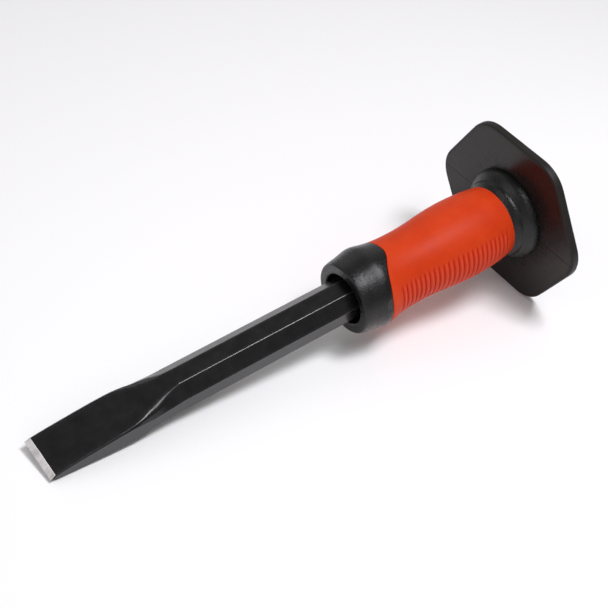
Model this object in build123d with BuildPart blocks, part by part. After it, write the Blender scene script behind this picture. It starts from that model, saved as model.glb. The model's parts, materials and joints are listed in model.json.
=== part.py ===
from build123d import *
import os
from math import cos, sin, tan, radians

os.makedirs("parts", exist_ok=True)

# ---------------------------------------------------------------- dimensions
# Lengths in mm, angles in degrees.  "Station" means the distance along the
# tool's axis, measured from the cutting edge towards the struck head.

LENGTH = 300.0            # cutting edge to struck head
SHANK_AF = 21.0           # octagonal bar, across flats
HEAD_CHAMFER = 2.2        # chamfer round the struck head
EDGE_HALF = 0.15          # half thickness of the ground edge
BEVEL_LENGTH = 2.9        # ground bevel, along the axis

# forged blade: station, half thickness, half width, corner cut across, corner cut down
BLADE = [
    (2.9, 1.95, 12.00, 0.60, 0.60),
    (8.0, 2.95, 11.95, 0.70, 0.70),
    (16.0, 3.90, 11.90, 0.70, 0.70),
    (26.0, 4.85, 11.90, 0.70, 0.70),
    (36.0, 5.70, 11.85, 0.70, 0.75),
    (44.0, 6.30, 11.75, 0.95, 1.00),
    (50.0, 6.85, 11.60, 2.10, 2.20),
    (56.0, 7.65, 11.30, 3.90, 3.90),
    (62.0, 8.60, 10.95, 4.85, 4.80),
    (68.0, 9.55, 10.65, 5.60, 5.60),
    (71.5, 10.18, 10.52, 5.92, 5.92),
    (73.0, 10.46, 10.50, 6.10, 6.10),
]
SHANK_START = 75.0        # the bar is a plain octagon from here to the head

# black inner sleeve (grip core)
BORE_R = 11.42            # clears the octagon's corners by 0.05
MOUTH_R = 13.9            # open mouth round the bar
MOUTH_DEPTH = 12.0
CORE_TUBE_R = 16.0        # under the soft sleeve
COLLAR_FRONT = 174.0
COLLAR_END = 207.0        # past the last of the wavy joint
SLEEVE_END = 272.6        # back end of the soft sleeve
SPIGOT_R = 14.2           # passes through the guard
REAR_LIP_R = 17.5
REAR_LIP = 3.0

# outside of collar and soft sleeve: station, radius
GRIP = [
    (183.0, 20.95), (188.0, 21.85), (194.0, 21.00), (200.0, 19.97),
    (205.0, 19.53), (210.0, 19.37), (216.0, 19.38), (224.0, 19.80),
    (232.0, 20.62), (240.0, 21.35), (248.0, 21.66), (256.0, 21.55),
    (264.0, 20.95), (272.6, 19.69),
]
# front lip of the collar
LIP = [(174.0, 18.2), (174.45, 19.15), (175.6, 19.80), (178.5, 20.30), (183.0, 20.95)]
# neck ring in front of the guard
RING = [(272.6, 18.9), (274.2, 19.9), (275.9, 21.3), (277.0, 21.6), (278.8, 23.8),
        (280.4, 25.0), (282.2, 25.6), (284.2, 25.85)]
# joint between collar and soft sleeve: station against sideways distance,
# lower on the near side than on the far side
JOINT = [(189.6, -30.0), (189.6, -21.7), (190.7, -17.4), (192.5, -12.5),
         (195.2, -7.4), (197.9, -3.3), (199.4, 1.5), (199.5, 30.0)]

# grip ribs, one patch on each side
RIB_COUNT = 24
RIB_FIRST = 197.5
RIB_PITCH = 3.02
RIB_DEPTH = 0.55
RIB_WIDTH = 1.3
RIB_ARC = 66.0            # degrees round the sleeve

# hexagonal hand guard
GUARD_FRONT = 284.2
GUARD_T = 4.5
GUARD_AF = 93.4
GUARD_CORNER_R = 19.0
GUARD_EDGE_R = 0.9

# bench pose: the tool lies on the guard's lower flat and the heel of the blade
AXIS_RISE = 8.6714         # the axis climbs from the edge to the head
BLADE_ROLL = 7.8          # the blade's flats are turned this much in the guard
EDGE_X = -148.807           # centre of the cutting edge in the part's frame
EDGE_Y = 0.0
EDGE_Z = 3.1927

# ---------------------------------------------------------------- reference
AX = Vector(cos(radians(AXIS_RISE)), 0, sin(radians(AXIS_RISE)))
SIDE = Vector(0, 1, 0)
UP = Vector(-sin(radians(AXIS_RISE)), 0, cos(radians(AXIS_RISE)))
EDGE = Vector(EDGE_X, EDGE_Y, EDGE_Z)
TOOL_AXIS = Axis(origin=EDGE, direction=AX)


def station(s, roll=0.0):
    """Plane square to the tool's axis at station s, local y up."""
    x_dir = SIDE * cos(radians(roll)) + UP * sin(radians(roll))
    return Plane(origin=EDGE + AX * s, x_dir=x_dir, z_dir=AX)


def lengthwise(angle=0.0):
    """Plane through the tool's axis, local x along it, local y radial."""
    radial = UP * cos(radians(angle)) - SIDE * sin(radians(angle))
    return Plane(origin=EDGE, x_dir=AX, z_dir=AX.cross(radial))


FLAT_HALF = SHANK_AF / 2
CORNER_CUT = FLAT_HALF * (1 - tan(radians(22.5)))


def section(half_t, half_w, cut_w, cut_t):
    """Eight corners of a blade or shank section."""
    return [
        (half_w - cut_w, half_t), (-(half_w - cut_w), half_t),
        (-half_w, half_t - cut_t), (-half_w, -(half_t - cut_t)),
        (-(half_w - cut_w), -half_t), (half_w - cut_w, -half_t),
        (half_w, -(half_t - cut_t)), (half_w, half_t - cut_t),
    ]


# ---------------------------------------------------------------- chisel
# One forging: ground edge, flat blade that swells into the octagonal bar,
# and the struck head with its chamfer.
heel = BLADE[0]
with BuildPart() as bevel:
    with BuildSketch(station(0, BLADE_ROLL)):
        with BuildLine():
            Polyline(*section(EDGE_HALF, 12.0, 0.05, 0.05), close=True)
        make_face()
    with BuildSketch(station(heel[0], BLADE_ROLL)):
        with BuildLine():
            Polyline(*section(*heel[1:]), close=True)
        make_face()
    loft(ruled=True)

with BuildPart() as blade:
    for row in BLADE:
        with BuildSketch(station(row[0], BLADE_ROLL)):
            with BuildLine():
                Polyline(*section(*row[1:]), close=True)
            make_face()
    with BuildSketch(station(SHANK_START, BLADE_ROLL)):
        with BuildLine():
            Polyline(*section(FLAT_HALF, FLAT_HALF, CORNER_CUT, CORNER_CUT), close=True)
        make_face()
    loft(ruled=True)

with BuildPart() as chisel:
    with BuildSketch(station(SHANK_START, BLADE_ROLL)):
        with BuildLine():
            Polyline(*section(FLAT_HALF, FLAT_HALF, CORNER_CUT, CORNER_CUT), close=True)
        make_face()
    extrude(amount=LENGTH - SHANK_START)
    struck = chisel.faces().sort_by(TOOL_AXIS)[-1]
    chamfer(struck.edges(), HEAD_CHAMFER)
    add(blade.part)
    add(bevel.part)

# ---------------------------------------------------------------- grip core
# Front half-space of the wavy joint, as a plate cut by a spline.
with BuildPart() as joint_front:
    with BuildSketch(Plane(origin=EDGE, x_dir=AX, z_dir=UP)):
        with BuildLine():
            Polyline(JOINT[0], (150.0, -30.0), (150.0, 30.0), JOINT[-1])
            Line(JOINT[-1], JOINT[-2])
            Spline(*reversed(JOINT[1:-1]), tangents=[(0, -1), (0, -1)])
            Line(JOINT[1], JOINT[0])
        make_face()
    extrude(amount=30.0, both=True)

# Ring of material behind the joint that belongs to the soft sleeve.
with BuildPart() as joint_back:
    with BuildSketch(lengthwise()):
        with BuildLine():
            Polyline((184.0, CORE_TUBE_R), (184.0, 28.0), (COLLAR_END, 28.0),
                     (COLLAR_END, CORE_TUBE_R), close=True)
        make_face()
    revolve(axis=TOOL_AXIS)
    add(joint_front.part, mode=Mode.SUBTRACT)

with BuildPart() as grip_core:
    with BuildSketch(lengthwise()):
        with BuildLine():
            grip_line = GRIP[:5]
            Polyline((COLLAR_FRONT + MOUTH_DEPTH, BORE_R),
                     (COLLAR_FRONT + MOUTH_DEPTH, MOUTH_R),
                     (COLLAR_FRONT + 0.7, MOUTH_R),
                     (COLLAR_FRONT, MOUTH_R + 0.7), LIP[0])
            Spline(*LIP, tangents=[(0, 1), (1, 0.16)])
            Spline(*grip_line, tangents=[(1, 0.16), (1, -0.05)])
            Polyline(grip_line[-1], (grip_line[-1][0], CORE_TUBE_R),
                     (SLEEVE_END, CORE_TUBE_R), RING[0])
            Spline(*RING, tangents=[(1, 0), (1, 0.05)])
            Polyline(RING[-1], (GUARD_FRONT, SPIGOT_R),
                     (GUARD_FRONT + GUARD_T, SPIGOT_R),
                     (GUARD_FRONT + GUARD_T, REAR_LIP_R),
                     (GUARD_FRONT + GUARD_T + REAR_LIP - 0.8, REAR_LIP_R),
                     (GUARD_FRONT + GUARD_T + REAR_LIP, REAR_LIP_R - 0.8),
                     (GUARD_FRONT + GUARD_T + REAR_LIP, BORE_R),
                     (COLLAR_FRONT + MOUTH_DEPTH, BORE_R))
        make_face()
    revolve(axis=TOOL_AXIS)
    add(joint_back.part, mode=Mode.SUBTRACT)

# ---------------------------------------------------------------- soft sleeve
# Shallow ribs round each side of the sleeve: a comb of notches turned
# through the arc of the rib patch.
def rib_radius(s):
    for (s0, r0), (s1, r1) in zip(GRIP, GRIP[1:]):
        if s0 <= s <= s1:
            return r0 + (r1 - r0) * (s - s0) / (s1 - s0)
    return GRIP[-1][1]


rib_combs = []
for side in (90.0, -90.0):
    with BuildPart() as rib_comb:
        with BuildSketch(lengthwise(side - RIB_ARC / 2)):
            for i in range(RIB_COUNT):
                s = RIB_FIRST + i * RIB_PITCH
                r = rib_radius(s)
                with BuildLine():
                    Polyline((s - RIB_WIDTH / 2, r + 1.0), (s - RIB_WIDTH / 4, r - RIB_DEPTH),
                             (s + RIB_WIDTH / 4, r - RIB_DEPTH), (s + RIB_WIDTH / 2, r + 1.0),
                             close=True)
                make_face()
        revolve(axis=TOOL_AXIS, revolution_arc=RIB_ARC)
    rib_combs.append(rib_comb.part)

with BuildPart() as grip_sleeve:
    with BuildSketch(lengthwise()):
        with BuildLine():
            Spline(*GRIP, tangents=[(1, 0.16), (1, -0.17)])
            Polyline(GRIP[-1], (SLEEVE_END, CORE_TUBE_R), (GRIP[0][0], CORE_TUBE_R), GRIP[0])
        make_face()
    revolve(axis=TOOL_AXIS)
    add(joint_front.part, mode=Mode.SUBTRACT)
    for comb in rib_combs:
        add(comb, mode=Mode.SUBTRACT)

# ---------------------------------------------------------------- hand guard
with BuildPart() as hand_guard:
    with BuildSketch(station(GUARD_FRONT)):
        hexagon = RegularPolygon(radius=GUARD_AF / 2, side_count=6, major_radius=False, rotation=0)
        fillet(hexagon.vertices(), GUARD_CORNER_R)
        Circle(SPIGOT_R, mode=Mode.SUBTRACT)
    extrude(amount=GUARD_T)
    rims = hand_guard.edges().filter_by(lambda e: (e.center() - EDGE).dot(AX) < GUARD_FRONT + 0.1
                                        or (e.center() - EDGE).dot(AX) > GUARD_FRONT + GUARD_T - 0.1)
    rims = rims.filter_by(lambda e: e.geom_type == GeomType.LINE or abs(e.radius - SPIGOT_R) > 0.1)
    fillet(rims, GUARD_EDGE_R)

# ---------------------------------------------------------------- output
pieces = {"chisel": chisel, "grip_core": grip_core, "grip_sleeve": grip_sleeve,
          "hand_guard": hand_guard}
for name, piece in pieces.items():
    piece.part.label = name

export_step(chisel.part, "parts/chisel.step")
export_step(grip_core.part, "parts/grip_core.step")
export_step(grip_sleeve.part, "parts/grip_sleeve.step")
export_step(hand_guard.part, "parts/hand_guard.step")

low = Vector(1e9, 1e9, 1e9)
high = Vector(-1e9, -1e9, -1e9)
for name, piece in pieces.items():
    box = piece.part.bounding_box()
    low = Vector(min(low.X, box.min.X), min(low.Y, box.min.Y), min(low.Z, box.min.Z))
    high = Vector(max(high.X, box.max.X), max(high.Y, box.max.Y), max(high.Z, box.max.Z))
    print(name, "solids", len(piece.part.solids()), "volume", round(piece.part.volume, 1),
          "box", box.min, box.max)
print("low", low, "high", high, "centre", (low + high) * 0.5)
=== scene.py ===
import bpy
import bmesh
import json
import math
import numpy as np
from mathutils import Matrix, Vector

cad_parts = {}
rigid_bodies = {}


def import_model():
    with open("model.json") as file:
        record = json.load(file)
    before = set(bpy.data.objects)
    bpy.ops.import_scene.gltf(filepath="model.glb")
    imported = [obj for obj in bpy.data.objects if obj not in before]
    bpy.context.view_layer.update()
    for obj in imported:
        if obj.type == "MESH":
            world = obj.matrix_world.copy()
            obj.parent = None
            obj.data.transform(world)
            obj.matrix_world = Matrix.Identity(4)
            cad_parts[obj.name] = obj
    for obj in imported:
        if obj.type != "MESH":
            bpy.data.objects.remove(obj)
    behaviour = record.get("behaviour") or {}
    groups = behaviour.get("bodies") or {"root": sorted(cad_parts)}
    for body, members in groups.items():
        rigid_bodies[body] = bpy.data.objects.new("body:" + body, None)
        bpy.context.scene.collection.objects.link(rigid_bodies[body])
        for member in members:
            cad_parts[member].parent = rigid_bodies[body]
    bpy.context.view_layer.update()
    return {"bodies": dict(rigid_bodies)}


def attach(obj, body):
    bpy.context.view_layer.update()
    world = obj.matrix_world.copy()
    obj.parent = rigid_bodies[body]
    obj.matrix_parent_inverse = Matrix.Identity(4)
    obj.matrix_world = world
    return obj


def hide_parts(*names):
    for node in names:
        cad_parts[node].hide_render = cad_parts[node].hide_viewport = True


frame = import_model()

# ------------------------------------------------------------------ frame
# Millimetres along and square to the tool's axis, turned into metres in the
# row frame.  s is the distance from the cutting edge towards the head.
RISE = math.radians(8.6714)
ROLL = math.radians(7.8)
EDGE = np.array([-148.807, 0.0, 3.1927])
AX = np.array([math.cos(RISE), 0.0, math.sin(RISE)])
UP = np.array([-math.sin(RISE), 0.0, math.cos(RISE)])
SIDE = np.array([0.0, 1.0, 0.0])
BX = SIDE * math.cos(ROLL) + UP * math.sin(ROLL)
BY = UP * math.cos(ROLL) - SIDE * math.sin(ROLL)


def to_row(P, ex=SIDE, ey=UP):
    """P[..., (across, up, along)] in mm -> row frame in metres."""
    P = np.asarray(P, float)
    return (EDGE + P[..., 0:1] * ex + P[..., 1:2] * ey + P[..., 2:3] * AX) / 1000.0


def smoothstep(a, b, x):
    t = np.clip((np.asarray(x, float) - a) / (b - a), 0, 1)
    return t * t * (3 - 2 * t)


def pchip(x, y):
    """Monotone cubic through the points, as a function."""
    x, y = np.asarray(x, float), np.asarray(y, float)
    h = np.diff(x)
    d = np.diff(y) / h
    m = np.zeros(len(x))
    for i in range(1, len(x) - 1):
        if d[i - 1] * d[i] > 0:
            w1, w2 = 2 * h[i] + h[i - 1], h[i] + 2 * h[i - 1]
            m[i] = (w1 + w2) / (w1 / d[i - 1] + w2 / d[i])
    m[0], m[-1] = d[0], d[-1]

    def f(q):
        q = np.clip(np.asarray(q, float), x[0], x[-1])
        i = np.clip(np.searchsorted(x, q) - 1, 0, len(x) - 2)
        t = (q - x[i]) / h[i]
        return ((1 + 2 * t) * (1 - t) ** 2 * y[i] + t * (1 - t) ** 2 * h[i] * m[i]
                + t * t * (3 - 2 * t) * y[i + 1] + t * t * (t - 1) * h[i] * m[i + 1])
    return f


def natural(x, y, s0=None, s1=None):
    """Cubic spline through the points with end slopes, as a function."""
    x, y = np.asarray(x, float), np.asarray(y, float)
    n = len(x)
    h = np.diff(x)
    A = np.zeros((n, n))
    b = np.zeros(n)
    for i in range(1, n - 1):
        A[i, i - 1], A[i, i], A[i, i + 1] = 1 / h[i - 1], 2 * (1 / h[i - 1] + 1 / h[i]), 1 / h[i]
        b[i] = 3 * ((y[i] - y[i - 1]) / h[i - 1] ** 2 + (y[i + 1] - y[i]) / h[i] ** 2)
    A[0, 0] = A[-1, -1] = 1
    b[0] = s0 if s0 is not None else (y[1] - y[0]) / h[0]
    b[-1] = s1 if s1 is not None else (y[-1] - y[-2]) / h[-1]
    m = np.linalg.solve(A, b)

    def f(q):
        q = np.clip(np.asarray(q, float), x[0], x[-1])
        i = np.clip(np.searchsorted(x, q) - 1, 0, n - 2)
        t = (q - x[i]) / h[i]
        return ((1 + 2 * t) * (1 - t) ** 2 * y[i] + t * (1 - t) ** 2 * h[i] * m[i]
                + t * t * (3 - 2 * t) * y[i + 1] + t * t * (t - 1) * h[i] * m[i + 1])
    return f


def make_object(name, verts, faces, mats, face_mats=None, smooth=True):
    me = bpy.data.meshes.new(name)
    me.from_pydata([tuple(v) for v in verts], [], [tuple(f) for f in faces])
    for m in mats:
        me.materials.append(m)
    bm = bmesh.new()
    bm.from_mesh(me)
    bm.faces.ensure_lookup_table()
    if face_mats is not None:
        for f, k in zip(bm.faces, face_mats):
            f.material_index = int(k)
    bmesh.ops.recalc_face_normals(bm, faces=bm.faces)
    for f in bm.faces:
        f.smooth = smooth
    bm.to_mesh(me)
    bm.free()
    me.update()
    o = bpy.data.objects.new(name, me)
    bpy.context.scene.collection.objects.link(o)
    return o


def loop_grid(P):
    """Faces of a grid closed both ways: P[nu, nv, 3]."""
    nu, nv = P.shape[:2]
    i, j = np.meshgrid(np.arange(nu), np.arange(nv), indexing="ij")
    a = i * nv + j
    b = ((i + 1) % nu) * nv + j
    c = ((i + 1) % nu) * nv + (j + 1) % nv
    d = i * nv + (j + 1) % nv
    return P.reshape(-1, 3), np.stack([a, b, c, d], -1).reshape(-1, 4)


# ------------------------------------------------------------------ camera
# Placed first, at the viewing angle of the studio picture of the tool.
cam_data = bpy.data.cameras.new("camera")
cam_data.sensor_width = 36.0
cam_data.lens = 83.164
cam_data.clip_start = 0.01
cam_data.clip_end = 30.0
cam = bpy.data.objects.new("camera", cam_data)
bpy.context.scene.collection.objects.link(cam)
cam.matrix_world = Matrix((
    (0.79586017, 0.31714425, -0.51577719, -0.35849305),
    (-0.58980071, 0.59867237, -0.54196541, -0.37380573),
    (0.13690034, 0.73553444, 0.66351140, 0.49503613),
    (0, 0, 0, 1)))
bpy.context.scene.camera = cam


# ------------------------------------------------------------------ materials
class Nodes:
    """A thin wrapper that keeps node building readable."""

    def __init__(self, name):
        self.mat = bpy.data.materials.new(name)
        self.mat.use_nodes = True
        self.nt = self.mat.node_tree
        self.nt.nodes.clear()
        self.out = self.nt.nodes.new("ShaderNodeOutputMaterial")
        self.bsdf = self.nt.nodes.new("ShaderNodeBsdfPrincipled")
        self.nt.links.new(self.bsdf.outputs["BSDF"], self.out.inputs["Surface"])
        self.coord = self.nt.nodes.new("ShaderNodeTexCoord")

    def link(self, a, b):
        self.nt.links.new(a, b)

    def mapping(self, scale=(1, 1, 1), rot=(0, 0, 0), loc=(0, 0, 0)):
        m = self.nt.nodes.new("ShaderNodeMapping")
        self.link(self.coord.outputs["Object"], m.inputs["Vector"])
        m.inputs["Rotation"].default_value = rot
        m.inputs["Scale"].default_value = scale
        m.inputs["Location"].default_value = loc
        return m.outputs["Vector"]

    def along(self, scale=(1, 1, 1)):
        """Object coordinates turned so that x runs along the tool's axis."""
        turn = self.nt.nodes.new("ShaderNodeMapping")
        self.link(self.coord.outputs["Object"], turn.inputs["Vector"])
        turn.inputs["Rotation"].default_value = (0, RISE, 0)
        m = self.nt.nodes.new("ShaderNodeMapping")
        self.link(turn.outputs["Vector"], m.inputs["Vector"])
        m.inputs["Scale"].default_value = scale
        return m.outputs["Vector"]

    def noise(self, vec, scale, detail=3.0, rough=0.5, distortion=0.0):
        n = self.nt.nodes.new("ShaderNodeTexNoise")
        self.link(vec, n.inputs["Vector"])
        n.inputs["Scale"].default_value = scale
        n.inputs["Detail"].default_value = detail
        n.inputs["Roughness"].default_value = rough
        n.inputs["Distortion"].default_value = distortion
        return n.outputs["Fac"]

    def voronoi(self, vec, scale, feature="F1", randomness=1.0):
        n = self.nt.nodes.new("ShaderNodeTexVoronoi")
        n.feature = feature
        self.link(vec, n.inputs["Vector"])
        n.inputs["Scale"].default_value = scale
        n.inputs["Randomness"].default_value = randomness
        return n.outputs["Distance"]

    def ramp(self, fac, stops):
        r = self.nt.nodes.new("ShaderNodeValToRGB")
        self.link(fac, r.inputs["Fac"])
        e = r.color_ramp.elements
        while len(e) > 1:
            e.remove(e[-1])
        e[0].position, e[0].color = stops[0][0], _rgba(stops[0][1])
        for p, c in stops[1:]:
            x = e.new(p)
            x.color = _rgba(c)
        return r.outputs["Color"]

    def rng(self, fac, a0, a1, b0, b1):
        m = self.nt.nodes.new("ShaderNodeMapRange")
        self.link(fac, m.inputs["Value"])
        m.inputs["From Min"].default_value = a0
        m.inputs["From Max"].default_value = a1
        m.inputs["To Min"].default_value = b0
        m.inputs["To Max"].default_value = b1
        m.clamp = True
        return m.outputs["Result"]

    def math(self, op, a, b=None):
        m = self.nt.nodes.new("ShaderNodeMath")
        m.operation = op
        for k, v in enumerate((a, b)):
            if v is None:
                continue
            if isinstance(v, (int, float)):
                m.inputs[k].default_value = v
            else:
                self.link(v, m.inputs[k])
        return m.outputs["Value"]

    def mix(self, fac, a, b):
        m = self.nt.nodes.new("ShaderNodeMix")
        m.data_type = "RGBA"
        if isinstance(fac, (int, float)):
            m.inputs[0].default_value = fac
        else:
            self.link(fac, m.inputs[0])
        for k, v in ((6, a), (7, b)):
            if isinstance(v, (tuple, list)):
                m.inputs[k].default_value = _rgba(v)
            else:
                self.link(v, m.inputs[k])
        return m.outputs[2]

    def attr(self, name):
        a = self.nt.nodes.new("ShaderNodeAttribute")
        a.attribute_name = name
        return a.outputs["Fac"]

    def bump(self, height, strength, distance, normal=None):
        b = self.nt.nodes.new("ShaderNodeBump")
        self.link(height, b.inputs["Height"])
        b.inputs["Strength"].default_value = strength
        b.inputs["Distance"].default_value = distance
        if normal is not None:
            self.link(normal, b.inputs["Normal"])
        return b.outputs["Normal"]

    def set(self, **kw):
        for k, v in kw.items():
            s = self.bsdf.inputs[k.replace("_", " ")]
            if isinstance(v, (int, float)):
                s.default_value = v
            elif isinstance(v, (tuple, list)):
                s.default_value = _rgba(v) if len(s.default_value) == 4 else v
            else:
                self.link(v, s)


def _rgba(c):
    if isinstance(c, (int, float)):
        return (c, c, c, 1.0)
    return tuple(c) if len(c) == 4 else tuple(c) + (1.0,)


def lacquer():
    """Black lacquer over forged steel: faint cloudiness, dust, forging lay."""
    n = Nodes("lacquered_steel")
    cloud = n.noise(n.mapping(), 140.0, 4.0, 0.55)
    fine = n.noise(n.mapping(), 1700.0, 3.0, 0.6)
    lay = n.noise(n.along((30.0, 420.0, 420.0)), 1.0, 4.0, 0.6)
    speck = n.rng(n.voronoi(n.mapping(), 430.0), 0.035, 0.075, 1.0, 0.0)
    speck_on = n.rng(n.noise(n.mapping(loc=(3, 1, 2)), 95.0, 2.0), 0.60, 0.68, 0.0, 1.0)
    dust = n.math("MULTIPLY", speck, speck_on)
    base = n.ramp(cloud, [(0.30, (0.0040, 0.0040, 0.0042)), (0.70, (0.0072, 0.0071, 0.0074))])
    base = n.mix(n.math("MULTIPLY", dust, 0.45), base, (0.050, 0.053, 0.066))
    wear = n.attr("edge")
    worn = n.math("MULTIPLY", wear, n.rng(n.noise(n.mapping(), 900.0, 4.0, 0.7), 0.35, 0.75, 0.0, 1.0))
    base = n.mix(n.math("MULTIPLY", worn, 0.60), base, (0.075, 0.075, 0.086))
    rough = n.math("ADD", n.rng(cloud, 0.3, 0.7, 0.17, 0.25), n.math("MULTIPLY", lay, 0.06))
    height = n.math("ADD", n.math("MULTIPLY", cloud, 0.7),
                    n.math("ADD", n.math("MULTIPLY", lay, 0.35), n.math("MULTIPLY", fine, 0.10)))
    n.set(Base_Color=base, Roughness=rough, IOR=1.5, Specular_IOR_Level=0.5,
          Normal=n.bump(height, 0.20, 0.00010))
    return n.mat


def ground_steel():
    """Bare ground bevel: fine grinding scratches square to the edge."""
    n = Nodes("ground_steel")
    vec = n.along((70.0, 4200.0, 500.0))
    lines = n.noise(vec, 1.0, 5.0, 0.65)
    broad = n.noise(n.along((60.0, 160.0, 120.0)), 1.0, 2.0, 0.5)
    tone = n.math("ADD", n.math("MULTIPLY", lines, 0.72), n.math("MULTIPLY", broad, 0.28))
    base = n.ramp(tone, [(0.34, (0.30, 0.285, 0.29)), (0.50, (0.50, 0.48, 0.485)), (0.64, (0.66, 0.64, 0.65))])
    base = n.mix(n.math("MULTIPLY", n.attr("edge"), 0.6), base, (0.86, 0.84, 0.83))
    rough = n.rng(tone, 0.3, 0.7, 0.46, 0.34)
    n.set(Base_Color=base, Metallic=1.0, Roughness=rough, Anisotropic=0.35,
          Normal=n.bump(lines, 0.35, 0.00006))
    return n.mat


def grained(name, low, high, grain, rough):
    """Hard black moulding with a spark-eroded grain."""
    n = Nodes(name)
    g1 = n.voronoi(n.mapping(), 1150.0)
    g2 = n.noise(n.mapping(), 1500.0, 4.0, 0.70)
    broad = n.noise(n.mapping(), 75.0, 4.0, 0.6)
    scuff = n.noise(n.along((60.0, 700.0, 700.0)), 1.0, 3.0, 0.6)
    scuffed = n.math("MULTIPLY", n.rng(scuff, 0.60, 0.74, 0.0, 1.0), n.rng(broad, 0.50, 0.70, 0.0, 1.0))
    base = n.ramp(broad, [(0.30, low), (0.72, high)])
    # painted glints: sparse lighter bluish specks in the base colour stand in for the grain catching the light
    painted_glint = n.rng(n.voronoi(n.mapping(loc=(2, 7, 4)), 1500.0), 0.10, 0.26, 1.0, 0.0)
    base = n.mix(n.math("MULTIPLY", painted_glint, 0.22), base, (0.030, 0.031, 0.037))
    base = n.mix(n.math("MULTIPLY", n.attr("gate"), 0.55), base, (0.026, 0.024, 0.023))
    base = n.mix(n.math("MULTIPLY", scuffed, 0.20), base, tuple(min(1.0, c * 2.2) for c in high))
    rgh = n.math("ADD", n.rng(broad, 0.3, 0.7, rough[0], rough[1]), n.math("MULTIPLY", g2, 0.08))
    height = n.math("ADD", n.math("MULTIPLY", g1, 0.5), n.math("MULTIPLY", g2, 1.1))
    height = n.math("MULTIPLY", height, n.attr("outer"))
    n.set(Base_Color=base, Roughness=rgh, IOR=1.46, Specular_IOR_Level=0.43, Normal=n.bump(height, grain, 0.00025))
    return n.mat


def satin_plate():
    """Satin plate of the guard: flow marks, light handling scratches, a smudge and painted shade round the ring."""
    n = Nodes("satin_plastic")
    broad = n.noise(n.mapping(), 60.0, 4.0, 0.6)
    fine = n.noise(n.mapping(), 1500.0, 3.0, 0.6)
    sway = n.noise(n.mapping(loc=(1, 2, 3)), 22.0, 2.0, 0.5)
    scr_a = n.noise(n.mapping(scale=(400, 60, 1500), rot=(0.6, 0.2, 0.4)), 1.0, 2.0, 0.6)
    scr_b = n.noise(n.mapping(scale=(400, 1500, 60), rot=(-0.5, 0.1, 0.2)), 1.0, 2.0, 0.6)
    scr = n.math("MAXIMUM", n.rng(scr_a, 0.66, 0.74, 0.0, 1.0), n.rng(scr_b, 0.67, 0.75, 0.0, 1.0))
    dust = n.math("MULTIPLY", n.rng(n.voronoi(n.mapping(), 380.0), 0.03, 0.07, 1.0, 0.0),
                  n.rng(n.noise(n.mapping(loc=(5, 2, 8)), 90.0), 0.58, 0.66, 0.0, 1.0))
    base = n.ramp(broad, [(0.30, (0.0105, 0.0084, 0.0078)), (0.72, (0.0150, 0.0124, 0.0115))])
    base = n.mix(n.math("MULTIPLY", scr, 0.22), base, (0.050, 0.046, 0.043))
    base = n.mix(n.math("MULTIPLY", dust, 0.30), base, (0.10, 0.10, 0.10))
    rough = n.math("ADD", n.rng(broad, 0.3, 0.7, 0.19, 0.28), n.math("MULTIPLY", scr, 0.10))
    rough = n.math("ADD", rough, n.math("MULTIPLY", n.attr("rim"), 0.22))
    # near the ring: the darker base is painted shade standing in for the ring's dark reflection and shadow; the raised
    # roughness is a handling smudge
    smudge_and_painted_shade = n.math("MULTIPLY", n.attr("near_ring"), n.rng(n.noise(n.mapping(loc=(4, 0, 1)), 190.0, 4.0, 0.65), 0.40, 0.62, 0.0, 1.0))
    base = n.mix(n.math("MULTIPLY", smudge_and_painted_shade, 0.75), base, (0.0022, 0.0018, 0.0017))
    rough = n.math("ADD", rough, n.math("MULTIPLY", smudge_and_painted_shade, 0.20))
    height = n.math("ADD", n.math("MULTIPLY", sway, 3.0),
                    n.math("ADD", n.math("MULTIPLY", fine, 0.05), n.math("MULTIPLY", scr, -0.2)))
    n.set(Base_Color=base, Roughness=rough, IOR=1.50, Specular_IOR_Level=0.25,
          Normal=n.bump(height, 0.25, 0.00010))
    return n.mat


def red_grip():
    """Soft red moulding: satin, slightly dusty; painted shade darkens the grooves and the recessed ends of the sleeve,
    and a painted highlight lightens the rib crowns.
    """
    n = Nodes("soft_grip")
    broad = n.noise(n.mapping(), 45.0, 4.0, 0.6)
    fine = n.noise(n.mapping(), 2400.0, 3.0, 0.6)
    mid = n.noise(n.mapping(), 420.0, 4.0, 0.6)
    hand = n.noise(n.along((120.0, 340.0, 340.0)), 1.0, 4.0, 0.62)
    base = n.ramp(broad, [(0.28, (0.515, 0.0350, 0.0058)), (0.52, (0.560, 0.0430, 0.0075)), (0.75, (0.600, 0.0520, 0.0105))])
    base = n.mix(n.math("MULTIPLY", n.rng(hand, 0.56, 0.76, 0.0, 1.0), 0.10), base, (0.50, 0.018, 0.003))
    # painted shade: this mask darkens the red in the rib grooves and on the sleeve's recessed end walls, where shade
    # falls
    base = n.mix(n.math("MULTIPLY", n.attr("painted_recess_shade"), 1.00), base, (0.50, 0.003, 0.0003))
    # painted highlight: the rib crowns are lightened to stand in for light caught on them
    base = n.mix(n.math("MULTIPLY", n.attr("painted_crown_highlight"), 0.26), base, (0.78, 0.12, 0.06))
    base = n.mix(n.math("MULTIPLY", n.rng(mid, 0.58, 0.80, 0.0, 1.0), 0.08), base, (0.82, 0.14, 0.07))
    rough = n.math("ADD", n.rng(broad, 0.3, 0.7, 0.38, 0.46), n.math("MULTIPLY", mid, 0.06))
    height = n.math("ADD", n.math("MULTIPLY", fine, 0.5), n.math("MULTIPLY", mid, 0.8))
    n.set(Base_Color=base, Roughness=rough, IOR=1.49, Specular_IOR_Level=0.10,
          Normal=n.bump(height, 0.22, 0.00012))
    n.set(Subsurface_Weight=0.05, Subsurface_Scale=0.0010)
    n.bsdf.inputs["Subsurface Radius"].default_value = (1.0, 0.25, 0.12)
    return n.mat


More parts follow.
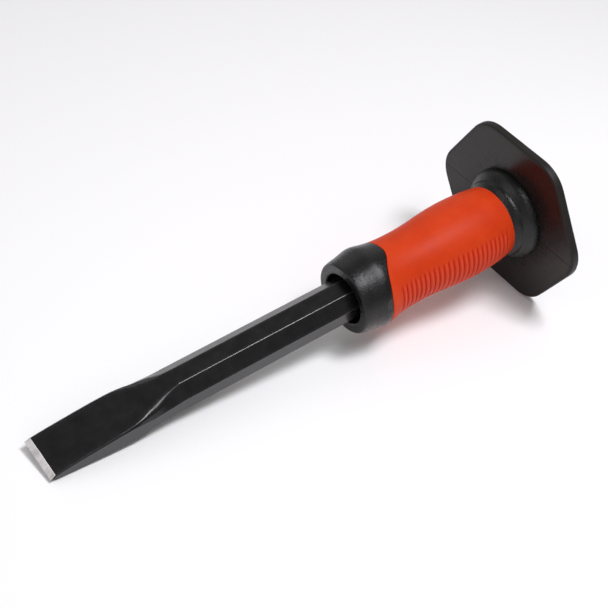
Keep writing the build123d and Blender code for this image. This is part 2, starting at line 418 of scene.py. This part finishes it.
def floor_paper():
    n = Nodes("paper_floor")
    f = n.noise(n.mapping(), 900.0, 3.0, 0.6)
    base = n.ramp(f, [(0.35, (0.93, 0.93, 0.93)), (0.65, (0.95, 0.95, 0.95))])
    n.set(Base_Color=base, Roughness=0.85)
    return n.mat


LACQUER, GROUND = lacquer(), ground_steel()
GRAINED = grained("grained_plastic", (0.0034, 0.0033, 0.0034), (0.0058, 0.0056, 0.0056), 0.50, (0.21, 0.26))
PLATE, RED = satin_plate(), red_grip()

# ------------------------------------------------------------------ chisel
AF = 21.0
CUT = AF / 2 * (1 - math.tan(math.radians(22.5)))
ROWS = [
    (2.9, 1.95, 12.00, 0.60, 0.60), (8.0, 2.95, 11.95, 0.70, 0.70),
    (16.0, 3.90, 11.90, 0.70, 0.70), (26.0, 4.85, 11.90, 0.70, 0.70),
    (36.0, 5.70, 11.85, 0.70, 0.75), (44.0, 6.30, 11.75, 0.95, 1.00),
    (50.0, 6.85, 11.60, 2.10, 2.20), (56.0, 7.65, 11.30, 3.90, 3.90),
    (62.0, 8.60, 10.95, 4.85, 4.80), (68.0, 9.55, 10.65, 5.60, 5.60),
    (72.8, 10.50, 10.50, CUT, CUT),
]
cols = list(zip(*ROWS))
f_t, f_w, f_cw, f_ct = (pchip(cols[0], c) for c in cols[1:])
ARC_N, FLAT_N = 5, 7


def section_loop(t, w, cw, ct, rho, bow=0.01):
    """Eight-cornered section with rounded corners; returns points and an edge weight.

    Each diagonal face carries a shallow extra corner near the broad face, so
    that it can swell by "bow" where the blade runs into the bar.
    """
    c8 = np.array([(w - cw, t), (-(w - cw), t), (-w, t - ct), (-w, -(t - ct)),
                   (-(w - cw), -t), (w - cw, -t), (w, -(t - ct)), (w, t - ct)])
    rho8 = [rho] * 8 if np.isscalar(rho) else rho
    corners, radii = [], []
    for k in range(8):
        corners.append(c8[k])
        radii.append(rho8[k])
        if k % 2:
            a, b = c8[k], c8[(k + 1) % 8]
            out = np.array([(b - a)[1], -(b - a)[0]])
            out = out / max(np.hypot(*out), 1e-9)
            out = out * (1 if out @ (a + b) > 0 else -1)
            corners.append(a + (b - a) * (0.36 if k in (1, 5) else 0.64) + out * bow)
            radii.append(None)
    n = len(corners)
    arcs = []
    for k in range(n):
        p, a, b = corners[k], corners[k - 1], corners[(k + 1) % n]
        da, db = a - p, b - p
        la, lb = np.hypot(*da), np.hypot(*db)
        da, db = da / max(la, 1e-9), db / max(lb, 1e-9)
        half = math.acos(np.clip(da @ db, -1, 1)) / 2
        turn = math.pi - 2 * half
        if radii[k] is None:
            reach = 0.5 * min(la, lb)
        else:
            reach = min(radii[k] * math.tan(turn / 2), 0.42 * la, 0.42 * lb)
        r = reach / max(math.tan(turn / 2), 1e-6)
        mid = da + db
        mid = mid / max(np.hypot(*mid), 1e-12)
        c = p + mid * (r / max(math.sin(half), 1e-6))
        p0, p1 = p + da * reach, p + db * reach
        a0 = math.atan2(*(p0 - c)[::-1])
        a1 = math.atan2(*(p1 - c)[::-1])
        dlt = (a1 - a0 + math.pi) % (2 * math.pi) - math.pi
        arcs.append([c + r * np.array([math.cos(a0 + dlt * i / (ARC_N - 1)), math.sin(a0 + dlt * i / (ARC_N - 1))])
                     for i in range(ARC_N)])
    pts, wt = [], []
    for k in range(n):
        arc, nxt = arcs[k], arcs[(k + 1) % n][0]
        pts += arc
        wt += [0.35, 0.8, 1.0, 0.8, 0.35] if radii[k] is not None else [0.0] * ARC_N
        m = 2 if (radii[k] is None or radii[(k + 1) % n] is None) else FLAT_N
        for i in range(1, m + 1):
            pts.append(arc[-1] + (nxt - arc[-1]) * i / (m + 1))
            wt.append(0.0)
    return np.array(pts), np.array(wt)


st = [0.0, 0.12, 0.35, 0.8, 1.4, 2.0, 2.5, 2.78, 2.9, 3.02, 3.3, 4.0]
st += list(np.arange(5.0, 44.0, 1.5)) + list(np.arange(44.0, 69.6, 0.6)) + [70.0, 71.0, 71.8, 72.4, 72.8, 73.2, 74.0, 75.0, 76.0] + list(np.arange(78.0, 296.0, 4.0))
rings, weights, svals = [], [], []
rng_ = np.random.default_rng(7)
wob = rng_.normal(0, 1, 400)


def wobble(x, seed):
    """Small repeatable wander, about one unit either way."""
    k = np.array([0.35, 0.8, 1.7, 3.1])
    ph = wob[seed:seed + 4] * 3
    return float((np.sin(np.outer(np.atleast_1d(x), k) + ph) * [1, .6, .4, .25]).sum() / 1.6)


for s in st:
    if s <= 2.9:
        q = s / 2.9
        t, w = 0.15 + (1.95 - 0.15) * q, 12.0 - 0.0 * q
        cw = 0.05 + 0.55 * q
        ct = min(cw, t * 0.6)
        rho = 0.04 + 0.22 * q
    else:
        t, w, cw, ct = float(f_t(s)), float(f_w(s)), float(f_cw(s)), float(f_ct(s))
        side_r = 0.26 + 0.34 * float(smoothstep(3, 60, s))
        face_r = (side_r + 0.25 * float(smoothstep(58, 74, s))
                  + 3.2 * float(smoothstep(44, 52, s) * (1 - smoothstep(60, 71, s))))
        rho = [face_r, face_r, side_r, side_r, face_r, face_r, side_r, side_r]
    bow = 0.01 + 0.150 * math.hypot(cw, ct) * float(smoothstep(44, 50, s) * (1 - smoothstep(57, 71, s)))
    p, wt = section_loop(t, w, cw, ct, rho, bow)
    rings.append(np.column_stack([p, np.full(len(p), s)]))
    weights.append(wt)
    svals.append(s)
# the ground line wanders slightly
for r, s in zip(rings, svals):
    if 2.4 < s < 3.4:
        near = 1 - abs(s - 2.9) / 0.6
        for k in range(len(r)):
            r[k, 2] += 0.07 * near * wobble(r[k, 0] + (40 if r[k, 1] < 0 else 0), 11)
# struck head: rounded shoulder, chamfer, rounded rim, flat face
HC = 2.2
p_end, wt_end = section_loop(AF / 2, AF / 2, CUT, CUT, [0.85, 0.85, 0.6, 0.6, 0.85, 0.85, 0.6, 0.6])


def scaled(k):
    return p_end * k


for s, inset in ((297.1, 0.0), (297.5, 0.0), (297.8, 0.08), (298.1, 0.33), (298.6, 0.80), (299.2, 1.40), (299.6, 1.83), (299.85, 2.15), (299.97, 2.55), (300.0, 3.2)):
    k = 1 - inset / (AF / 2)
    rings.append(np.column_stack([scaled(k), np.full(len(p_end), s)]))
    weights.append(np.full(len(p_end), 0.8 if 0.05 < inset < 2.6 else 0.2))
    svals.append(s)
for k in (0.5, 0.3, 0.12):
    rings.append(np.column_stack([scaled(k), np.full(len(p_end), 300.0)]))
    weights.append(np.zeros(len(p_end)))
    svals.append(300.0)
R = np.array(rings)
nr, nc = R.shape[:2]
V = R.reshape(-1, 3)
weights = np.array(weights)
weights[:, :][np.array(svals) < 2.6] = 0.0
weights[(np.array(svals) > 2.6) & (np.array(svals) < 2.95)] = 1.0
W = weights.reshape(-1)
faces, fm = [], []
for i in range(nr - 1):
    for j in range(nc):
        a, b = i * nc + j, i * nc + (j + 1) % nc
        faces.append((a, b, b + nc, a + nc))
        mid = (V[a] + V[b] + V[a + nc] + V[b + nc]) / 4
        d = V[b] - V[a]
        flat = abs(d[0]) > abs(d[1]) * 1.2
        fm.append(1 if (svals[i + 1] <= 2.9 and flat) else 0)
tipc, headc = len(V), len(V) + 1
V = np.vstack([V, [[0, 0, 0.0]], [[0, 0, 300.0]]])
W = np.append(W, [0.0, 0.0])
for j in range(nc):
    faces.append((tipc, (j + 1) % nc, j))
    fm.append(1)
    faces.append((headc, (nr - 1) * nc + j, (nr - 1) * nc + (j + 1) % nc))
    fm.append(0)
chisel = make_object("forged_chisel", to_row(V, BX, BY), faces, [LACQUER, GROUND], fm)
at = chisel.data.attributes.new("edge", "FLOAT", "POINT")
at.data.foreach_set("value", W.astype(np.float32))
wn = chisel.modifiers.new("weighted", "WEIGHTED_NORMAL")
wn.mode = "FACE_AREA"
wn.weight = 60
wn.keep_sharp = True
sharp = chisel.data.attributes.new("sharp_edge", "BOOLEAN", "EDGE")
sv = np.array(svals)
i29 = int(np.argmin(abs(sv - 2.9)))
flags = np.zeros(len(chisel.data.edges), bool)
for e in chisel.data.edges:
    a, b = e.vertices
    if a // nc == b // nc == i29:
        flags[e.index] = True
    if a // nc == b // nc == 0:
        flags[e.index] = True
sharp.data.foreach_set("value", flags)

# ------------------------------------------------------------------ grip
GRIP = [(183.0, 20.95), (188.0, 21.85), (194.0, 21.00), (200.0, 19.97), (205.0, 19.53), (210.0, 19.37),
        (216.0, 19.38), (224.0, 19.80), (232.0, 20.62), (240.0, 21.35), (248.0, 21.66), (256.0, 21.55),
        (264.0, 20.95), (272.6, 19.69)]
grip_r = natural([g[0] for g in GRIP], [g[1] for g in GRIP], 0.16, -0.17)
JOINT = [(189.6, -30.0), (189.6, -21.7), (190.7, -17.4), (192.5, -12.5), (195.2, -7.4), (197.9, -3.3),
         (199.4, 1.5), (199.5, 30.0)]
joint_s = pchip([j[1] for j in JOINT], [j[0] for j in JOINT])
NT = 320
PHI = np.arange(NT) * 2 * math.pi / NT


def joint_at(phi):
    s = 195.0
    for _ in range(12):
        s = 0.5 * s + 0.5 * float(joint_s(grip_r(s) * math.cos(phi)))
    return s


ZB = np.array([joint_at(p) for p in PHI])


def spin(profile_rows):
    """profile_rows[NT, n, (s, r)] -> grid in grip coordinates."""
    P = np.asarray(profile_rows, float)
    c, sn = np.cos(PHI)[:, None], np.sin(PHI)[:, None]
    return np.stack([P[..., 1] * c, P[..., 1] * sn, P[..., 0]], -1)


def lerp_pts(a, b, n, skip_last=True):
    t = np.linspace(0, 1, n + 1)[:(-1 if skip_last else None)]
    return [(a[0] + (b[0] - a[0]) * k, a[1] + (b[1] - a[1]) * k) for k in t]


def round_corner(cs, cr, rad, a0, a1, n):
    return [(cs + rad * math.cos(math.radians(a0 + (a1 - a0) * i / n)),
             cr + rad * math.sin(math.radians(a0 + (a1 - a0) * i / n))) for i in range(n + 1)]


# collar lip: front face, tight shoulder, then the barrel of the collar
LIP = [(174.0, 18.45), (174.32, 19.15), (175.1, 19.52), (176.6, 19.88), (178.6, 20.22), (180.8, 20.52), (183.0, 20.95)]
lip_t = np.array([0] + list(np.cumsum([math.dist(LIP[i], LIP[i + 1]) for i in range(len(LIP) - 1)])))
lip_s = natural(lip_t, [p[0] for p in LIP], 0.02, 0.98)
lip_r = natural(lip_t, [p[1] for p in LIP], 1.0, 0.17)
RING = [(272.6, 18.9), (273.3, 19.0), (274.3, 19.95), (275.3, 20.9), (276.2, 21.35), (277.1, 21.65),
        (278.0, 22.5), (279.2, 23.8), (280.7, 24.95), (282.4, 25.6), (284.2, 25.85)]
ring_r = natural([p[0] for p in RING], [p[1] for p in RING], 0.02, 0.05)

rows = []
for k, phi in enumerate(PHI):
    zb = ZB[k]
    pr = []
    pr += lerp_pts((185.7, 11.42), (185.9, 13.0), 4)                     # floor of the mouth
    pr += round_corner(185.4, 13.4, 0.5, 0, 90, 4)                       # its corner
    pr += lerp_pts((184.6, 13.9), (175.2, 13.9), 12)
    pr += round_corner(174.75, 14.65, 0.75, 270, 180, 6)                 # inner lip
    pr += lerp_pts((174.0, 14.75), (174.0, 18.35), 7)
    tt = np.linspace(0.0, 1.0, 56) ** 1.6 * lip_t[-1]
    pr += [(float(lip_s(t)), float(lip_r(t))) for t in tt[:-1]]
    ss = np.linspace(183.0, zb - 0.42, 26)
    pr += [(s, float(grip_r(s))) for s in ss]
    r = float(grip_r(zb))
    pr += [(zb - 0.25, r - 0.03), (zb - 0.13, r - 0.11), (zb - 0.06, r - 0.25), (zb - 0.04, r - 0.5)]
    pr += [(zb - 0.04, 18.0), (zb - 0.04, 16.02)]
    pr += lerp_pts((zb + 1.0, 16.02), (272.4, 16.02), 8)
    pr += [(272.62, 16.4), (272.64, 18.0), (272.8, 18.75)]
    ss = np.linspace(272.95, 284.0, 56)
    pr += [(s, float(ring_r(s))) for s in ss]
    pr += [(284.12, 25.78), (284.17, 25.6)]
    pr += [(284.18, 24.0), (284.18, 18.0), (284.19, 14.19)]
    pr += lerp_pts((285.5, 14.19), (288.5, 14.19), 2)
    pr += [(288.71, 14.3), (288.71, 17.0)]
    pr += [(288.80, 17.4), (289.0, 17.5), (290.6, 17.5)]
    pr += round_corner(290.9, 16.7, 0.8, 90, 0, 6)
    pr += [(291.7, 15.0), (291.7, 12.0)]
    pr += round_corner(291.3, 11.82, 0.4, 0, -90, 3)
    pr += lerp_pts((288.0, 11.42), (189.0, 11.42), 12)
    rows.append(pr)
G = spin(rows)
# fine witness line of the mould along both sides of the collar and ring
for k, phi in enumerate(PHI):
    d = min(abs(math.atan2(math.sin(phi), math.cos(phi))), abs(phi - math.pi))
    if d < 0.001:
        rr = np.hypot(G[k, :, 0], G[k, :, 1])
        out = (rr > 19.0) & (G[k, :, 2] > 176.0)
        G[k, out, :2] *= (1 + 0.045 / rr[out])[:, None]
# shallow gate mark low on the near side of the collar, against the joint
gate = np.zeros(G.shape[:2])
for k, phi in enumerate(PHI):
    rr = np.hypot(G[k, :, 0], G[k, :, 1])
    turn = (math.degrees(phi) - 167.0 + 180.0) % 360.0 - 180.0
    e = (turn / 9.5) ** 2 + ((G[k, :, 2] - (ZB[k] - 0.4)) / 3.2) ** 2
    on = (rr > 19.0) & (G[k, :, 2] > 181.0) & (G[k, :, 2] < ZB[k] - 0.3)
    gate[k] = np.where(on, 1.0 - np.clip((e - 0.62) / 0.38, 0, 1), 0.0)
    G[k, :, :2] *= (1 - 0.22 * gate[k] / np.maximum(rr, 1.0))[:, None]
v, f = loop_grid(G)
core = make_object("collar_and_neck", to_row(v), f, [GRAINED])
at = core.data.attributes.new("gate", "FLOAT", "POINT")
at.data.foreach_set("value", gate.reshape(-1).astype(np.float32))
at = core.data.attributes.new("outer", "FLOAT", "POINT")
at.data.foreach_set("value", (np.hypot(v[:, 0], v[:, 1]) > 14.6).astype(np.float32))

# ------------------------------------------------------------------ sleeve
RIB_N, RIB_0, RIB_P, RIB_D = 24, 197.5, 3.02, 0.72
RIB_S0, RIB_S1 = RIB_0 - RIB_P / 2, RIB_0 + (RIB_N - 0.5) * RIB_P


def rib_depth(s, phi):
    """Scalloped ribs round both sides of the sleeve, fading at their ends."""
    side = min(abs(math.atan2(math.sin(phi), math.cos(phi))), abs(phi - math.pi))
    deg = math.degrees(side)
    x = ((s - RIB_0) / RIB_P) % 1.0
    u = abs(2 * x - 1)                     # 1 at a groove, 0 on a rib's crown
    shape = u ** 3.0
    fade = 1 - smoothstep(24.0, 33.5, deg)
    ends = smoothstep(RIB_S0, RIB_S0 + 1.2, s) * (1 - smoothstep(RIB_S1 - 1.2, RIB_S1, s))
    return shape * fade * ends


# mask of the rib crowns, used for a painted highlight on them
def rib_crown(s, phi):
    side = min(abs(math.atan2(math.sin(phi), math.cos(phi))), abs(phi - math.pi))
    x = ((s - RIB_0) / RIB_P) % 1.0
    u = abs(2 * x - 1)
    inside = smoothstep(RIB_S0, RIB_S0 + 1.2, s) * (1 - smoothstep(RIB_S1 - 1.2, RIB_S1, s))
    return (1 - u) ** 1.5 * (1 - smoothstep(22.0, 32.0, math.degrees(side))) * inside


rows, painted_recess_shade, painted_crown_highlight = [], [], []
S_FIX = 202.0
fix = np.arange(S_FIX, 272.1, 0.2)
for k, phi in enumerate(PHI):
    zb = ZB[k]
    r0 = float(grip_r(zb))
    pr = [(zb + 0.04, 16.05), (zb + 0.04, 17.5), (zb + 0.04, r0 - 0.55),
          (zb + 0.06, r0 - 0.28), (zb + 0.13, r0 - 0.12), (zb + 0.26, r0 - 0.03)]
    # painted shade mask along the profile: on the joint wall, in each rib groove (from the rib depth) and on the rear
    # end wall
    recess_shade_row = [0.6, 0.5, 0.4, 0.2, 0.0, 0.0]
    lo = np.linspace(zb + 0.45, S_FIX, 58)[:-1]
    ss = np.concatenate([lo, fix])
    base = grip_r(ss)
    on = smoothstep(zb + 0.8, zb + 2.4, ss)
    dep = rib_depth(ss, phi) * on
    pr += list(zip(ss, base - RIB_D * dep))
    # painted highlight mask on the rib crowns
    crown_light_row = [0.0] * len(recess_shade_row) + list(rib_crown(ss, phi) * on)
    recess_shade_row += list(dep)
    r1 = float(grip_r(272.6))
    pr += [(272.25, r1 + 0.03), (272.42, r1 - 0.06), (272.54, r1 - 0.20), (272.6, r1 - 0.42), (272.6, 18.4), (272.6, 16.05)]
    recess_shade_row += [0, 0, 0, 0.2, 0.4, 0.5]
    pr += lerp_pts((270.0, 16.05), (zb + 2.0, 16.05), 8, False)
    recess_shade_row += [0.0] * 9
    rows.append(pr)
    painted_recess_shade.append(recess_shade_row)
    painted_crown_highlight.append(crown_light_row + [0.0] * (len(recess_shade_row) - len(crown_light_row)))
G = spin(rows)
for k, phi in enumerate(PHI):
    d = min(abs(math.atan2(math.sin(phi), math.cos(phi))), abs(phi - math.pi))
    if d < 0.001:
        rr = np.hypot(G[k, :, 0], G[k, :, 1])
        out = (rr > 18.9)
        G[k, out, :2] *= (1 + 0.05 / rr[out])[:, None]
v, f = loop_grid(G)
sleeve = make_object("red_sleeve", to_row(v), f, [RED])
at = sleeve.data.attributes.new("painted_recess_shade", "FLOAT", "POINT")
at.data.foreach_set("value", np.array(painted_recess_shade, np.float32).reshape(-1))
at = sleeve.data.attributes.new("painted_crown_highlight", "FLOAT", "POINT")
at.data.foreach_set("value", np.array(painted_crown_highlight, np.float32).reshape(-1))

# ------------------------------------------------------------------ guard
APO, CR, ER, T0, TH, HOLE = 46.7, 19.0, 0.9, 284.2, 4.5, 14.2


def hex_radius(alpha, inset=0.0):
    """Distance from the centre to a rounded hexagon's outline, corners at 0, 60, ..."""
    a, c = APO - inset, max(CR - inset, 0.1)
    al = (alpha + math.pi / 6) % (math.pi / 3) - math.pi / 6      # angle from the nearest corner
    al = abs(al)
    circ = (a - c) / math.cos(math.pi / 6)                         # centre of the corner arc
    edge_al = math.atan2(c * 0.5, circ + c * math.cos(math.pi / 6))
    if al <= edge_al:
        return circ * math.cos(al) + math.sqrt(max(c * c - (circ * math.sin(al)) ** 2, 0))
    return a / math.cos(math.pi / 6 - al)


angles = []
for k in range(6):
    a0 = k * 60.0
    angles += [a0 + d for d in (1.6, 3.0, 4.4, 5.8, 7.2, 8.8, 10.6, 12.8, 15.4, 18.5, 22.0, 26.0, 30.0, 34.0, 38.0, 41.5,
                                44.6, 47.2, 49.4, 51.2, 52.8, 54.2, 55.6, 57.0, 58.4)]
    if k not in (0, 3):
        angles.append(a0)
angles = sorted(angles)
cols_a = [("reg", math.radians(a)) for a in angles]
seam_cols = []
for a0 in (0.0, 180.0):
    for off in (-0.17, -0.06, 0.06, 0.17):
        seam_cols.append(("seam", math.radians(a0), off))
order = sorted(cols_a + seam_cols, key=lambda c: (c[1] if c[0] == "reg" else c[1] + 1e-4 * c[2]) % (2 * math.pi + 1e-9) if not (c[0] == "seam" and c[1] == 0 and c[2] < 0) else 2 * math.pi - 1e-5 + 1e-5 * c[2])


def plate_profile():
    """(kind, value, s): radial fractions on faces, insets round the rim."""
    pr = [("h", 0.0, T0 + TH - 0.02), ("h", 0.0, T0 + TH * 0.5), ("h", 0.0, T0 + 0.02)]
    for fr in (0.02, 0.08, 0.16, 0.26, 0.3, 0.36, 0.46, 0.56, 0.66, 0.76, 0.86, 0.94):
        pr.append(("f", fr, T0))
    for i in range(0, 7):
        t = math.radians(90 * i / 6)
        pr.append(("i", ER * (1 - math.sin(t)), T0 + ER * (1 - math.cos(t))))
    pr.append(("i", 0.0, T0 + TH * 0.5))
    for i in range(6, -1, -1):
        t = math.radians(90 * i / 6)
        pr.append(("i", ER * (1 - math.sin(t)), T0 + TH - ER * (1 - math.cos(t))))
    for fr in (0.94, 0.86, 0.76, 0.66, 0.56, 0.46, 0.36, 0.26, 0.16, 0.08, 0.02):
        pr.append(("g", fr, T0 + TH))
    return pr


prof = plate_profile()
grid = []
for c in order:
    line = []
    for kind, val, s in prof:
        if kind == "h":
            r = HOLE
        elif kind in "fg":
            r = HOLE + (hex_radius(c[1], ER) - HOLE) * val
        else:
            r = hex_radius(c[1], val)
        if c[0] == "reg":
            al = c[1]
        else:
            al = c[1] + math.asin(c[2] / r)
            if kind == "f" and abs(c[2]) < 0.1:
                s = s + 0.13
            if kind == "i" and s < T0 + ER and abs(c[2]) < 0.1:
                s = s + 0.05
        line.append((r * math.cos(al), r * math.sin(al), s))
    grid.append(line)
G = np.array(grid)
v, f = loop_grid(G)
guard = make_object("hexagon_guard", to_row(v), f, [PLATE])
at = guard.data.attributes.new("rim", "FLOAT", "POINT")
at.data.foreach_set("value", np.tile([1.0 if k == "i" else 0.0 for k, _, _ in prof], len(order)).astype(np.float32))
# mask for the front face near the ring, where the painted shade and the smudge go
near = []
for k, fr, _ in prof:
    near.append(1.0 - float(smoothstep(0.34, 0.62, fr)) if k == "f" else 0.0)
at = guard.data.attributes.new("near_ring", "FLOAT", "POINT")
at.data.foreach_set("value", np.tile(near, len(order)).astype(np.float32))
wn = guard.modifiers.new("weighted", "WEIGHTED_NORMAL")
wn.mode = "FACE_AREA"
wn.weight = 50

for o, node, slot in ((chisel, "chisel", "lacquered_steel"), (core, "grip_core", "grained_plastic"),
                      (sleeve, "grip_sleeve", "soft_grip"), (guard, "hand_guard", "satin_plastic")):
    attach(o, "root" if "root" in frame["bodies"] else list(frame["bodies"])[0])
    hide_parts(node)

# ------------------------------------------------------------------ studio
floor_me = bpy.data.meshes.new("studio_floor")
bm = bmesh.new()
bmesh.ops.create_grid(bm, x_segments=2, y_segments=2, size=6.0)
bm.to_mesh(floor_me)
bm.free()
floor = bpy.data.objects.new("studio_floor", floor_me)
floor.data.materials.append(floor_paper())
bpy.context.scene.collection.objects.link(floor)


def softbox(name, pos, aim, size, power, color=(1, 1, 1)):
    d = bpy.data.lights.new(name, "AREA")
    d.shape = "RECTANGLE"
    d.size, d.size_y = size
    d.energy = power
    d.color = color
    o = bpy.data.objects.new(name, d)
    bpy.context.scene.collection.objects.link(o)
    o.location = pos
    o.rotation_euler = (Vector(aim) - Vector(pos)).to_track_quat("-Z", "Y").to_euler()
    return o


softbox("key_box", (0.22, -0.25, 0.97), (0.05, 0.0, 0.04), (0.27, 0.30), 6.9, (0.965, 0.955, 1.0))
softbox("fill_box", (-1.10, 0.30, 0.75), (0.0, 0.0, 0.04), (0.9, 0.7), 3.0)
softbox("back_box", (0.35, 1.40, 0.95), (0.05, 0.0, 0.05), (2.4, 1.3), 4.6)
softbox("front_box", (-0.55, -1.20, 0.80), (0.05, 0.0, 0.05), (1.4, 0.9), 2.5)
softbox("kick_box", (0.00, -0.42, 0.98), (-0.09, -0.01, 0.02), (0.22, 0.26), 1.6, (0.95, 0.96, 1.0))

world = bpy.data.worlds.new("studio")
world.use_nodes = True
bg = world.node_tree.nodes["Background"]
bg.inputs["Color"].default_value = (1.0, 0.965, 0.95, 1.0)
bg.inputs["Strength"].default_value = 0.23
bpy.context.scene.world = world
bpy.context.scene.view_settings.view_transform = "Standard"
bpy.context.scene.view_settings.look = "None"
